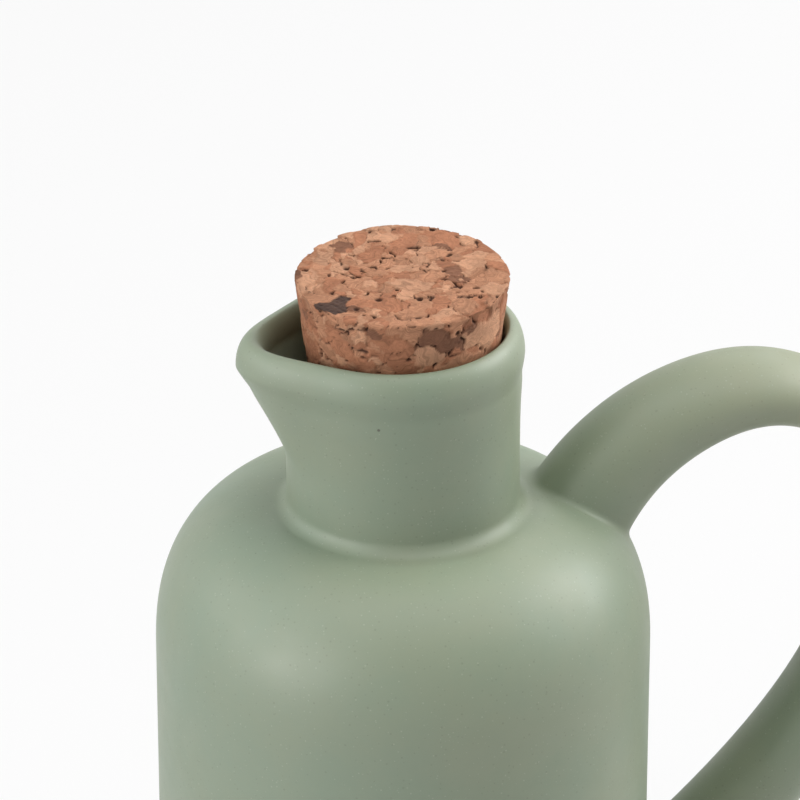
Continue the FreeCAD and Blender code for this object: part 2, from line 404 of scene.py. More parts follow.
def handle_poles(body, handle):
    """Return the middle line's control points as rows of X, Z and thickness."""
    drop = body.shoulder_height - handle.foot_height
    out, up, thickness = HANDLE_LINE.T
    rise = up * np.where(up > 0, handle.rise, drop)
    return np.column_stack([body.radius + out * handle.reach, body.shoulder_height + rise, thickness])


def spline(poles, share, degree=3):
    """Return points of the clamped uniform B-spline of the poles at shares of its length.

    The weights come from the usual recursion: each is a ramp up times a lower weight, plus a ramp
    down times its neighbour.
    """
    count = len(poles)
    inner = np.linspace(0, 1, count - degree + 1)
    knots = np.concatenate([np.zeros(degree), inner, np.ones(degree)])
    at = np.clip(share, 0, 1 - 1e-9)[..., None]
    weights = ((at >= knots[:-1]) & (at < knots[1:])).astype(float)
    for order in range(1, degree + 1):
        span_up = knots[order:-1] - knots[:-order - 1]
        span_down = knots[order + 1:] - knots[1:-order]
        up = np.divide(at - knots[:-order - 1], span_up, out=np.zeros_like(weights[..., :-1]),
                       where=span_up > 0)
        down = np.divide(knots[order + 1:] - at, span_down, out=np.zeros_like(weights[..., :-1]),
                         where=span_down > 0)
        weights = up * weights[..., :-1] + down * weights[..., 1:]
    return weights @ poles


def handle_points(body, handle, share, turn):
    """Return points of the handle: an oval carried along the middle line, square to it.

    Turn 0 is on the inside of the bend, half the thickness from the line, and a quarter turn on is
    half the width across.
    """
    poles = handle_poles(body, handle)
    place = spline(poles, share)
    ahead = spline(poles, share + NEARBY) - spline(poles, share - NEARBY)
    along = unit(ahead[..., :2])
    half = place[..., 2] / 2 * np.cos(turn)
    x = place[..., 0] + along[..., 1] * half
    z = place[..., 1] - along[..., 0] * half
    y = handle.width / 2 * np.sin(turn) + np.zeros_like(x)
    return np.stack([x, y, z], axis=-1)


def body_distance(body, points):
    """Return each point's signed distance from the body's outside, and the outward direction there.

    The nearest point is sought along the straight pieces of the body's outline in radius and height.
    """
    outline = outer_outline(body)
    outline = np.concatenate([outline, [[0, body.shoulder_height]]])
    starts, steps = outline[:-1], np.diff(outline, axis=0)
    reach = np.hypot(points[..., 0], points[..., 1])
    place = np.stack([reach, points[..., 2]], axis=-1)[..., None, :]
    share = np.clip(((place - starts) * steps).sum(-1) / (steps ** 2).sum(-1), 0, 1)
    away = place - (starts + share[..., None] * steps)
    gap = np.linalg.norm(away, axis=-1)
    nearest = gap.argmin(-1)[..., None]
    step = unit(steps[nearest[..., 0]])
    normal = np.stack([step[..., 1], -step[..., 0]], axis=-1)
    away = np.take_along_axis(away, nearest[..., None], axis=-2)[..., 0, :]
    side = np.sign((away * normal).sum(-1))
    radial = points[..., :2] / reach[..., None]
    outward = np.concatenate([radial * normal[..., :1], normal[..., 1:]], axis=-1)
    return side * np.take_along_axis(gap, nearest, axis=-1)[..., 0], outward


def handle_exits(body, handle, turn, from_end):
    """Return the share of the middle line at which each rail leaves the body, and one step of it.

    A rail runs along the handle at one turn. It leaves where the distance from the body, taken to
    change evenly between the last point inside and the next, is 0.
    """
    shares = np.linspace(0, 0.5, EXIT_STEPS + 1)
    if from_end:
        shares = 1 - shares
    step = shares[1] - shares[0]
    rails = handle_points(body, handle, shares[:, None], turn[None, :])
    gap, _ = body_distance(body, rails)
    last_inside = len(shares) - 1 - (gap < 0)[::-1].argmax(0)
    columns = np.arange(len(turn))
    low, high = gap[last_inside, columns], gap[last_inside + 1, columns]
    return shares[last_inside] - low / (high - low) * step, step


def handle_root(body, handle, turn, from_end):
    """Return the share at which each rail meets its fillet, and the rows from there into the wall.

    Each fillet row is a quadratic Bezier curve from the rail, over the corner, to the body's surface.
    Past it the handle's skin dips under the body's, and then ends inside the wall.
    """
    corner_share, step = handle_exits(body, handle, turn, from_end)
    corner = handle_points(body, handle, corner_share, turn)
    stride = np.linalg.norm(handle_points(body, handle, corner_share + step, turn) - corner, axis=-1)
    rail_share = corner_share + step * handle.fillet / stride
    rail_point = handle_points(body, handle, rail_share, turn)
    _, body_out = body_distance(body, corner)
    around = np.roll(corner, -1, axis=0) - np.roll(corner, 1, axis=0)
    sideways = unit(np.cross(around, body_out))
    from_middle = corner - corner.mean(0)
    sideways = sideways * np.sign((from_middle * sideways).sum(-1, keepdims=True))
    foot = corner + sideways * handle.fillet
    foot_gap, foot_out = body_distance(body, foot)
    foot = foot - foot_out * foot_gap[:, None]
    way = np.linspace(0, 1, FILLET_RINGS)[1:, None, None]
    fillet = (1 - way) ** 2 * rail_point + 2 * way * (1 - way) * corner + way ** 2 * foot
    sunk = foot + sideways * handle.fillet * SINK_RUN - foot_out * SINK_DEPTH
    buried = corner - body_out * body.wall * BURIED_DEPTH
    return rail_share, np.concatenate([fillet, sunk[None], buried[None]])


def handle_surface(body, handle):
    """Return the handle as a grid of rings, from inside the shoulder to inside the lower wall."""
    turn = round_turn(HANDLE_COLUMNS)
    first_share, first_rows = handle_root(body, handle, turn, False)
    last_share, last_rows = handle_root(body, handle, turn, True)
    along = np.linspace(0, 1, HANDLE_RINGS)[:, None]
    shares = first_share + (last_share - first_share) * along
    middle = handle_points(body, handle, shares, turn[None, :])
    return np.concatenate([first_rows[::-1], middle, last_rows])


# ---------------------------------------------------------------- cork's smooth shape

CORK_COLUMNS = 400
HIDDEN_RINGS = 14          # rings of the side that stays in the bore
SHOWN_RINGS = 72           # rings of the side that shows, and a little below
TOP_RINGS = 68
BOTTOM_RINGS = 10
EDGE_RINGS = 5
FINE_START = 2 * MM        # the close rings start this far above the seat


def cork_outline(cork, neck):
    """Return the cork's outline as rows of radius and height above its seat, base to top.

    It is a cone with both edges rounded by quarter arcs.
    """
    slope = math.tan(cork.taper)
    top = cork.top_height - neck.seat_height
    bottom = top - cork.length
    seat_radius = neck.bore - cork.seat_gap
    top_radius = seat_radius + top * slope
    bottom_radius = seat_radius + bottom * slope
    edge = cork.edge
    turn = quarter_turn(EDGE_RINGS)
    side = np.concatenate([
        between(bottom + edge, FINE_START, HIDDEN_RINGS),
        np.linspace(FINE_START, top - edge, SHOWN_RINGS)[:-1],
    ])
    return np.concatenate([
        outline_rows(np.linspace(0, bottom_radius - edge, BOTTOM_RINGS)[1:], bottom),
        low_rounding(bottom_radius, bottom, edge, turn[1:]),
        outline_rows(seat_radius + side * slope, side),
        outline_rows(top_radius - edge + edge * np.cos(turn), top - edge + edge * np.sin(turn)),
        outline_rows(between(top_radius - edge, 0, TOP_RINGS), top),
    ])


def cork_surface(cork, neck):
    """Return the smooth cork as a grid of points about its own axis, and the outward directions.

    The outline is turned about the axis, and outwards is a right angle from the outline's run.
    """
    outline = cork_outline(cork, neck)
    heading = round_turn(CORK_COLUMNS)
    spread = np.stack([np.cos(heading), np.sin(heading)], axis=-1)
    flat = outline[:, 0, None, None] * spread[None]
    level = np.broadcast_to(outline[:, 1, None, None], flat.shape[:2] + (1,))
    step = unit(np.gradient(outline, axis=0))
    normal_flat = step[:, 1, None, None] * spread[None]
    normal_level = np.broadcast_to(-step[:, 0, None, None], level.shape)
    points = np.concatenate([flat, level], axis=-1)
    return points, np.concatenate([normal_flat, normal_level], axis=-1)


def leaned(points, cork):
    """Return points turned about the seat's centre by the cork's lean, towards its heading."""
    heading = cork.lean_heading
    axis = np.array([-math.sin(heading), math.cos(heading), 0])
    cos, sin = math.cos(cork.lean), math.sin(cork.lean)
    along = (points @ axis)[..., None] * axis
    return points * cos + np.cross(axis, points) * sin + along * (1 - cos)


# ---------------------------------------------------------------- cork's chips

KINDS = ("tan", "pale", "rust", "brown", "bark")
TOP_SHARES = (0.52, 0.21, 0.20, 0.07)      # share of each kind but bark among the top's chips
SIDE_SHARES = (0.46, 0.12, 0.36, 0.06)     # and among the side's

# Grains listed one by one: to the right of the middle and towards the front, depth below the top,
# half-width, slenderness (below 1 is deeper than wide) and kind.
PLACED_GRAINS = (
    (-12.2 * MM, 11.0 * MM, 0.3 * MM, 3.2 * MM, 1.1, "bark"),
    (8.6 * MM, -1.7 * MM, 0.3 * MM, 2.2 * MM, 0.7, "brown"),
    (5.9 * MM, -3.3 * MM, 0.3 * MM, 1.8 * MM, 0.8, "pale"),
    (12.4 * MM, -4.2 * MM, 0.3 * MM, 2.4 * MM, 1.3, "pale"),
    (-2.6 * MM, 10.6 * MM, 0.3 * MM, 2.6 * MM, 1.4, "rust"),
    (2.0 * MM, 3.2 * MM, 0.3 * MM, 2.7 * MM, 1.5, "pale"),
    (5.4 * MM, 17.8 * MM, 2.6 * MM, 1.3 * MM, 3.2, "brown"),
    (6.5 * MM, 16.4 * MM, 5.6 * MM, 1.3 * MM, 3.4, "brown"),
    (-3.0 * MM, 17.2 * MM, 3.2 * MM, 2.3 * MM, 2.4, "rust"),
    (-8.6 * MM, 15.0 * MM, 6.8 * MM, 2.2 * MM, 2.6, "rust"),
    (15.8 * MM, 8.8 * MM, 6.5 * MM, 3.6 * MM, 1.2, "pale"),
    (13.4 * MM, 12.4 * MM, 4.5 * MM, 2.8 * MM, 1.2, "pale"),
)

# Pits listed one by one on the top: to the right and towards the front, half-length and half-width.
PLACED_PITS = (
    (-9.9 * MM, -2.9 * MM, 0.50 * MM, 0.50 * MM),
    (-5.2 * MM, -2.9 * MM, 0.80 * MM, 0.35 * MM),
    (1.7 * MM, -10.2 * MM, 0.95 * MM, 0.40 * MM),
    (-4.1 * MM, 8.7 * MM, 0.60 * MM, 0.55 * MM),
    (3.1 * MM, 8.4 * MM, 0.45 * MM, 0.60 * MM),
    (-8.0 * MM, 12.2 * MM, 0.45 * MM, 0.55 * MM),
    (13.0 * MM, 4.6 * MM, 0.60 * MM, 0.40 * MM),
)

# How chips are scattered, in the usual distance between the middles of two chips.
CHIP_CROWDING = 1.35       # chips in a cube with that distance as its edge
SIDE_SKIN = 1.6            # how deep chips lie inside the side
TOP_SKIN = 1.4             # how deep they lie under the top
SIZE_SPREAD = 0.26         # usual difference in size
ORDINARY_HALF = 0.45       # half-width of an ordinary chip, which a placed grain's size adds to

# How chips lie: depths are below the cork's top.
LEAST_SLENDER = 1.2
MOST_SLENDER = 2.7
LEVEL_LIE = (1, 1, 0.2)    # chips lie nearly level
ROUND_LIE = 1.6            # how strongly the side's chips run round the cork
ROUND_START = 0.6 * MM
ROUND_FULL = 2.5 * MM
SIDE_KINDS_DEPTH = 1.6 * MM
TOP_GRAIN_DEPTH = 1 * MM   # placed grains and pits above this depth belong to the top
COVERED = 0.8              # share of a placed grain's half-width within which no chip stays

# How chips stand, in the cork's relief.
CHIP_STEP = 0.55           # usual step up or down
CHIP_TILT = 0.035          # usual slope of a chip's face
LOST_LEAST = 1.5           # least and greatest sinking of a chip lost from the top's edge
LOST_MOST = 4.0
LOST_SHARE = 0.3
LOST_BAND = 1.6 * MM       # how far in from the edge chips may be lost
LOST_DEPTH = 2 * MM        # how far down from the top

# Ripples that bend the chips' outlines: wavelength and depth.
WARPS = ((6 * MM, 0.6 * MM), (1.8 * MM, 0.28 * MM))

# Seams between two chips, and pits where three meet.
CHANCES = 997              # fixed chances that the meeting chips' numbers pick from
SEAM_WIDTH = 0.13 * MM
SEAM_DEPTH = 0.30 * MM
PLAIN_SEAM = 0.25          # strength of a plain seam
OPEN_SEAM = 1.6            # how much stronger an open one is
OPEN_CHANCE = 0.45         # seams with a chance above this one are open
BREAK_LENGTH = 2.2 * MM    # wavelength at which seams come and go
BREAK_MIDDLE = 0.55        # middle, swing and least share of a seam's strength that is left
BREAK_SWING = 1.1
BREAK_LEAST = 0.1
PIT_REACH = 0.55 * MM
PIT_DEPTH = 0.8 * MM
PIT_SHARE = 0.16           # share of the meetings that leave a pit

# Finer relief: wavelength and depth of the ripples all over, and of those on bark.
FINE_RIPPLES = ((0.8 * MM, 0.02 * MM), (9 * MM, 0.08 * MM))
BARK_RIPPLE = 0.9 * MM
BARK_DEPTH = 0.09 * MM
CUT_HEIGHT = 0.10 * MM     # the cutter took off everything above this height
LAYER_RIPPLE = 2.6 * MM    # wavelength and depth of the wander in a chip's layers
LAYER_WANDER = 0.6 * MM
LAYER_LIE = (1, 1, 2)      # layers lie more level than not
BARK_TONE = 1.5            # how much a bark grain's ripple changes its tone
# how strongly a pit takes the dark colour: painted shade in the pit
PIT_SHADE = 1.6
LEAST_TONE = -1.5
MOST_TONE = 3
DARKEST = 0.89             # a chip's colour is multiplied by this at tone 0, and more above it
TONE_STEP = 0.22


def view_axes(heading):
    """Return the level directions to the right and towards the front, as seen from a heading."""
    right = np.array([math.cos(heading), math.sin(heading), 0])
    front = np.array([math.sin(heading), -math.cos(heading), 0])
    return right, front


def chip_seeds(cork, top, radius, random):
    """Return the chips' middles, sizes, long directions, slenderness and kinds.

    Middles are scattered evenly through the cork's skin. Chips lie level, and along the side they
    mostly run round it.
    """
    pitch = cork.chip_size
    span = np.array([radius, radius, cork.length / 2 + pitch])
    count = int(8 * span.prod() / pitch ** 3 * CHIP_CROWDING)
    middle = random.uniform(-1, 1, (count, 3)) * span + [0, 0, top - cork.length / 2]
    reach = np.hypot(middle[:, 0], middle[:, 1])
    skin = (reach > radius - SIDE_SKIN * pitch) | (middle[:, 2] > top - TOP_SKIN * pitch)
    middle = middle[skin & (reach < radius + pitch / 2)]
    count = len(middle)
    size = random.normal(0, SIZE_SPREAD, count) * pitch
    around = unit(np.stack([-middle[:, 1], middle[:, 0], np.zeros(count)], axis=-1))
    below = unit_share(top - middle[:, 2], ROUND_START, ROUND_FULL)[:, None]
    long_way = unit(random.normal(0, 1, (count, 3)) * LEVEL_LIE + around * below * ROUND_LIE)
    slender = random.uniform(LEAST_SLENDER, MOST_SLENDER, count)
    top_kind = random.choice(len(TOP_SHARES), count, p=TOP_SHARES)
    side_kind = random.choice(len(SIDE_SHARES), count, p=SIDE_SHARES)
    kind = np.where(middle[:, 2] < top - SIDE_KINDS_DEPTH, side_kind, top_kind)
    return middle, size, long_way, slender, kind


def with_placed_grains(chips, cork, top):
    """Return the chips with the listed grains, which push out the chips they cover."""
    middle, size, long_way, slender, kind = chips
    right, front = view_axes(cork.facing)
    for across, near, depth, half, ratio, name in PLACED_GRAINS:
        spot = across * right + near * front + [0, 0, top - depth]
        keep = np.linalg.norm(middle - spot, axis=1) > half * COVERED
        run = right if depth < TOP_GRAIN_DEPTH else unit(np.array([-spot[1], spot[0], 0]))
        middle = np.vstack([middle[keep], spot])
        size = np.append(size[keep], half - cork.chip_size * ORDINARY_HALF)
        long_way = np.vstack([long_way[keep], run])
        slender = np.append(slender[keep], ratio)
        kind = np.append(kind[keep], KINDS.index(name))
    return middle, size, long_way, slender, kind


def placed_pits(points, top, cork):
    """Return how deep each point lies in a listed pit, from 0 to 1: an oval bell."""
    right, front = view_axes(cork.facing)
    across, near = points @ right, points @ front
    depth = np.zeros(len(points))
    for at_right, at_front, length, width in PLACED_PITS:
        bell = np.exp(-((across - at_right) / length) ** 2 - ((near - at_front) / width) ** 2)
        depth = np.maximum(depth, bell)
    return depth * (points[:, 2] > top - TOP_GRAIN_DEPTH)


def nearest_chips(points, middle, size, long_way, slender, block=4000):
    """Return the three nearest chips of each point and their distances.

    A chip's distance is shortened along its long way and lessened by its size, so chips are
    stretched and uneven.
    """
    indices, distances = [], []
    for start in range(0, len(points), block):
        away = points[start:start + block, None, :] - middle[None]
        along = (away * long_way[None]).sum(-1)
        squared = (away ** 2).sum(-1) - along ** 2 * (1 - 1 / slender ** 2)
        distance = np.sqrt(np.maximum(squared, 0)) - size
        order = np.argpartition(distance, 3, axis=1)[:, :3]
        chosen = np.take_along_axis(distance, order, axis=1)
        rank = chosen.argsort(axis=1)
        indices.append(np.take_along_axis(order, rank, axis=1))
        distances.append(np.take_along_axis(chosen, rank, axis=1))
    return np.concatenate(indices), np.concatenate(distances)


def ripple(points, random, wavelength, waves=7):
    """Return a smooth wandering value near -1..1: the mean of sines in random directions."""
    directions = unit(random.normal(0, 1, (waves, 3))) / wavelength
    phase = random.uniform(0, TAU, waves)
    return np.sin(points @ directions.T * TAU + phase).mean(-1) * 2


def warped(points, random):
    """Return points moved by ripples along each axis, so that the chips' outlines wander."""
    warp = np.zeros_like(points)
    for wavelength, depth in WARPS:
        warp += np.stack([ripple(points, random, wavelength) for _ in range(3)], axis=-1) * depth
    return points + warp


def chip_steps(cork, middle, top, radius, random):
    """Return how far each chip stands proud or sunk; some at the top's edge are lost."""
    step = random.normal(0, CHIP_STEP, len(middle)) * cork.relief
    reach = np.hypot(middle[:, 0], middle[:, 1])
    at_edge = (reach > radius - LOST_BAND) & (middle[:, 2] > top - LOST_DEPTH)
    lost = at_edge & (random.uniform(0, 1, len(middle)) < LOST_SHARE)
    return step - np.where(lost, random.uniform(LOST_LEAST, LOST_MOST, len(middle)) * cork.relief, 0)


def seam_grooves(points, chips, gaps, chance, random):
    """Return how deep each point lies in a seam: a bell across it, which a ripple breaks up.

    The numbers of the two chips pick the seam's own strength.
    """
    pair = chance[(chips[:, 0] + chips[:, 1]) % CHANCES]
    strength = PLAIN_SEAM + OPEN_SEAM * np.maximum(pair - OPEN_CHANCE, 0)
    left = BREAK_MIDDLE + BREAK_SWING * ripple(points, random, BREAK_LENGTH)
    return np.exp(-((gaps[:, 1] - gaps[:, 0]) / SEAM_WIDTH) ** 2) * strength * np.clip(left, BREAK_LEAST, 1)


def corner_pits(chips, gaps, chance):
    """Return how deep each point lies in a pit where three chips meet, from 0 to 1: an even slope."""
    triple = chance[(chips.sum(1) * 7) % CHANCES]
    return unit_share(gaps[:, 2] - gaps[:, 0], PIT_REACH, 0) * (triple < PIT_SHARE)


def cork_relief(cork, neck, points):
    """Return each point's relief, and its chip's kind, tone, darkness of seams (dark joints) and pits
    (painted shade), and layer height.

    Chips stand proud or sunk by their own step and tilt; seams between them are shallow grooves,
    and where three chips meet some leave a pit. What would stand above the smooth cork is cut off.
    """
    random = np.random.default_rng(cork.seed)
    top = cork.top_height - neck.seat_height
    radius = neck.bore + top * math.tan(cork.taper)
    seeds = chip_seeds(cork, top, radius, random)
    seeds = with_placed_grains(seeds, cork, top)
    middle, size, long_way, slender, kind = seeds
    bent = warped(points, random)
    chips, gaps = nearest_chips(bent, middle, size, long_way, slender)
    own = chips[:, 0]
    chance = random.uniform(0, 1, CHANCES)
    step = chip_steps(cork, middle, top, radius, random)
    tilt = random.normal(0, CHIP_TILT, (len(middle), 3))
    relief = step[own] + (tilt[own] * (bent - middle[own])).sum(-1)
    groove = seam_grooves(points, chips, gaps, chance, random)
    pit = np.maximum(corner_pits(chips, gaps, chance), placed_pits(points, top, cork))
    layer_way = unit(random.normal(0, 1, (len(middle), 3)) * LAYER_LIE)
    layers = (bent * layer_way[own]).sum(-1)
    layers = layers + LAYER_WANDER * ripple(points, random, LAYER_RIPPLE)
    for wavelength, depth in FINE_RIPPLES:
        relief = relief + ripple(points, random, wavelength) * depth
    rough = (kind[own] == KINDS.index("bark")) * ripple(points, random, BARK_RIPPLE)
    relief = relief - groove * SEAM_DEPTH - pit * PIT_DEPTH + rough * BARK_DEPTH
    relief = np.minimum(relief, CUT_HEIGHT) - CUT_HEIGHT
    tone = np.clip(random.uniform(0, 1, len(middle))[own] + rough * BARK_TONE, LEAST_TONE, MOST_TONE)
    return relief, kind[own], tone, np.clip(groove + pit * PIT_SHADE, 0, 1), layers


def chip_colours(cork, kind, tone):
    """Return each point's chip colour: its kind's colour, a little lighter or darker."""
    palette = np.array([cork.tan, cork.pale, cork.rust, cork.brown, cork.bark])
    return np.clip(palette[kind] * (DARKEST + TONE_STEP * tone[..., None]), 0, 1)


# ---------------------------------------------------------------- meshes

def closed_grid(grid, first_index):
    """Return vertices and faces of a grid whose columns go round and whose ends close in a pole."""
    rows, columns = grid.shape[:2]
    index = np.arange(rows * columns).reshape(rows, columns) + first_index
    right = np.roll(index, -1, axis=1)
    quads = np.stack([index[:-1], right[:-1], right[1:], index[1:]], axis=-1).reshape(-1, 4)
    first_pole = first_index + rows * columns
    start_fan = np.stack([right[0], index[0], np.full(columns, first_pole)], axis=-1)
    end_fan = np.stack([index[-1], right[-1], np.full(columns, first_pole + 1)], axis=-1)
    poles = np.stack([grid[0].mean(0), grid[-1].mean(0)])
    vertices = np.concatenate([grid.reshape(-1, 3), poles])
    return vertices, quads.tolist() + start_fan.tolist() + end_fan.tolist()


def grid_object(name, grids):
    """Return an object whose mesh holds each of the grids as a closed shell."""
    vertices, faces = np.empty((0, 3)), []
    for grid in grids:
        more_vertices, more_faces = closed_grid(grid, len(vertices))
        vertices = np.concatenate([vertices, more_vertices])
        faces += more_faces
    mesh = bpy.data.meshes.new(name)
    mesh.from_pydata(vertices.tolist(), [], faces)
    mesh.polygons.foreach_set("use_smooth", np.ones(len(mesh.polygons), bool))
    mesh.update()
    piece = bpy.data.objects.new(name, mesh)
    bpy.context.scene.collection.objects.link(piece)
    return piece


def set_attribute(piece, name, values):
    """Store one number for each vertex of a grid object; its two poles take the ends' means."""
    attribute = piece.data.attributes.new(name, "FLOAT", "POINT")
    flat = values.reshape(-1)
    ends = [values[0].mean(), values[-1].mean()]
    attribute.data.foreach_set("value", np.append(flat, ends).astype(np.float32))


def set_colours(piece, name, values):
    """Store one linear colour for each vertex of a grid object."""
    attribute = piece.data.attributes.new(name, "FLOAT_COLOR", "POINT")
    flat = values.reshape(-1, 3)
    ends = np.stack([values[0].mean(0), values[-1].mean(0)])
    rgba = np.column_stack([np.concatenate([flat, ends]), np.ones(len(flat) + 2)])
    attribute.data.foreach_set("color", rgba.astype(np.float32).reshape(-1))


# ---------------------------------------------------------------- materials

# Cloudy variation: broad and fine waves per metre, and the fine waves' share.
GREEN_CLOUDS = {"Broad": 28.0, "Fine": 240.0, "Fine share": 0.25}
WARM_CLOUDS = {"Broad": 45.0, "Fine": 420.0, "Fine share": 0.2}
CORK_CLOUDS = {"Broad": 260.0, "Fine": 1500.0, "Fine share": 0.45}

# Scattered dots: cells per metre, a dot's radius in cells, and the share of cells that hold one.
PALE_SPECKS = {"Cells": 1350.0, "Radius": 0.18, "Share": 0.36}
DARK_SPECKS = {"Cells": 1050.0, "Radius": 0.18, "Share": 0.45}
PINHOLES = {"Cells": 150.0, "Radius": 0.05, "Share": 0.12}
PORES = {"Cells": 900.0, "Radius": 0.16, "Share": 0.25}

# How strongly each part of the glaze colours it.
LEAF_STRENGTH = 0.55
COOL_STRENGTH = 0.7
WARM_STRENGTH = 0.58
WARM_CLOUD_STRENGTH = 0.30
PALE_STRENGTH = 0.22
DARK_STRENGTH = 0.18
PINHOLE_STRENGTH = 0.8
# strength of the painted shade in the crease at the neck's root
ROOT_SHADE_STRENGTH = 0.13

# Where shade is painted into the crease at the neck's root, and where the glaze stops.
ROOT_SHADE_HEIGHT = 0.3 * MM     # the painted shade ring's middle above the shoulder, and its half-height
ROOT_SHADE_HALF = 1.9 * MM
ROOT_SHADE_INSIDE = 0.5 * MM     # it fades from this far inside the shoulder's flat to this far beyond
ROOT_SHADE_OUTSIDE = 1.5 * MM
ROOT_SHADE_NEAR = 7 * MM         # and between these distances from X = 0
ROOT_SHADE_FAR = 15 * MM
BARE_TOP = 0.35 * MM       # the glaze stops between these heights
BARE_BELOW = 0.15 * MM

# Surfaces: roughness, and depth of the fine bumps.
BARE_ROUGHNESS = 0.8
ROUGHNESS_SWING = 0.05
GLAZE_BUMP = 0.4 * MM
CORK_BUMP = 0.15 * MM
SECOND_PLACE = (0.37, 0.11, 0.53)    # moves the warm clouds and dark dots off the green and pale


class NodeTree:
    """A short way to add nodes to a tree and link them."""

    def __init__(self, tree):
        self.tree = tree
        tree.nodes.clear()

    def add(self, kind, inputs=None, **settings):
        """Add a node, set its properties, and set or link its inputs by name or number."""
        node = self.tree.nodes.new(kind)
        for name, value in settings.items():
            setattr(node, name, value)
        for key, value in (inputs or {}).items():
            self.feed(node.inputs[key], value)
        return node

    def feed(self, socket, value):
        """Link an output to the socket, or set its value."""
        if isinstance(value, bpy.types.NodeSocket):
            self.tree.links.new(value, socket)
        elif socket.type == "RGBA" and len(value) == 3:
            socket.default_value = (*value, 1)
        else:
            socket.default_value = value

    def math(self, operation, *values, clamp=False):
        """Return the output of a Math node."""
        node = self.add("ShaderNodeMath", dict(enumerate(values)), operation=operation, use_clamp=clamp)
        return node.outputs[0]

    def ramp(self, value, low, high, to_low=0.0, to_high=1.0):
        """Return the value mapped smoothly from low..high to to_low..to_high."""
        node = self.add("ShaderNodeMapRange", {"Value": value, "From Min": low, "From Max": high,
                                               "To Min": to_low, "To Max": to_high},
                        interpolation_type="SMOOTHSTEP")
        return node.outputs["Result"]

    def mix(self, share, first, second):
        """Return a mix of two colours."""
        return self.add("ShaderNodeMix", {0: share, 6: first, 7: second}, data_type="RGBA").outputs[2]

    def mix_value(self, share, first, second):
        """Return a mix of two values."""
        return self.add("ShaderNodeMix", {0: share, 2: first, 3: second}, data_type="FLOAT").outputs[0]

    def noise(self, vector, scale, detail, roughness):
        """Return the value of a noise texture in space."""
        node = self.add("ShaderNodeTexNoise", {"Vector": vector, "Scale": scale, "Detail": detail,
                                               "Roughness": roughness})
        return node.outputs["Fac"]

    def line_noise(self, value, scale, detail, roughness):
        """Return the value of a noise texture along a line."""
        node = self.add("ShaderNodeTexNoise", {"W": value, "Scale": scale, "Detail": detail,
                                               "Roughness": roughness}, noise_dimensions="1D")
        return node.outputs["Fac"]

    def group(self, tree, place, inputs):
        """Return the output of a node group at a place, with its other inputs set."""
        node = self.add("ShaderNodeGroup", {"Vector": place, **inputs}, node_tree=tree)
        return node.outputs[0]

    def seen(self):
        """Return 1 for rays that show a surface or its mirror image, and 0 for those that light."""
        rays = self.add("ShaderNodeLightPath").outputs
        shown = self.math("MAXIMUM", rays["Is Camera Ray"], rays["Is Glossy Ray"])
        return self.math("MAXIMUM", shown, rays["Is Transmission Ray"])


def group_with(name, inputs, output):
    """Return a new shader node group with one output, its nodes, its inputs and the output's socket."""
    tree = bpy.data.node_groups.new(name, "ShaderNodeTree")
    nodes = NodeTree(tree)
    tree.interface.new_socket("Vector", in_out="INPUT", socket_type="NodeSocketVector")
    for label, default in inputs.items():
        socket = tree.interface.new_socket(label, in_out="INPUT", socket_type="NodeSocketFloat")
        socket.default_value = default
    tree.interface.new_socket(output, in_out="OUTPUT", socket_type="NodeSocketFloat")
    given = nodes.add("NodeGroupInput").outputs
    leave = nodes.add("NodeGroupOutput").inputs[output]
    return tree, nodes, given, leave


def dot_group():
    """Return the group that scatters small round dots: a mask that is 1 in the dots and 0 elsewhere.

    A dot is the middle of a Voronoi cell, out to a radius that the cell's random colour varies.
    """
    tree, nodes, given, leave = group_with("Scattered dots", PALE_SPECKS, "Mask")
    cells = nodes.add("ShaderNodeTexVoronoi", {"Vector": given["Vector"], "Scale": given["Cells"]})
    random = nodes.add("ShaderNodeSeparateColor", {"Color": cells.outputs["Color"]})
    kept = nodes.math("LESS_THAN", random.outputs["Red"], given["Share"])
    varied = nodes.math("MULTIPLY_ADD", random.outputs["Green"], 0.7, 0.5)
    radius = nodes.math("MULTIPLY", given["Radius"], varied)
    edge = nodes.math("DIVIDE", cells.outputs["Distance"], radius)
    nodes.feed(leave, nodes.math("MULTIPLY", nodes.ramp(edge, 1.25, 0.75), kept))
    return tree


def cloud_group():
    """Return the group of broad cloudy variation: two layers of noise, as a value from 0 to 1."""
    tree, nodes, given, leave = group_with("Cloudy variation", GREEN_CLOUDS, "Value")
    broad = nodes.noise(given["Vector"], given["Broad"], 3.0, 0.55)
    fine = nodes.noise(given["Vector"], given["Fine"], 3.0, 0.6)
    both = nodes.mix_value(given["Fine share"], broad, fine)
    nodes.feed(leave, nodes.ramp(both, 0.3, 0.7))
    return tree


def shared_group(name, build):
    """Return the node group of that name, built once."""
    return bpy.data.node_groups.get(name) or build()


def material_with(name):
    """Return a new material, its nodes and its principled shader, which has no output node yet."""
    material = bpy.data.materials.new(name)
    material.use_nodes = True
    nodes = NodeTree(material.node_tree)
    return material, nodes, nodes.add("ShaderNodeBsdfPrincipled")


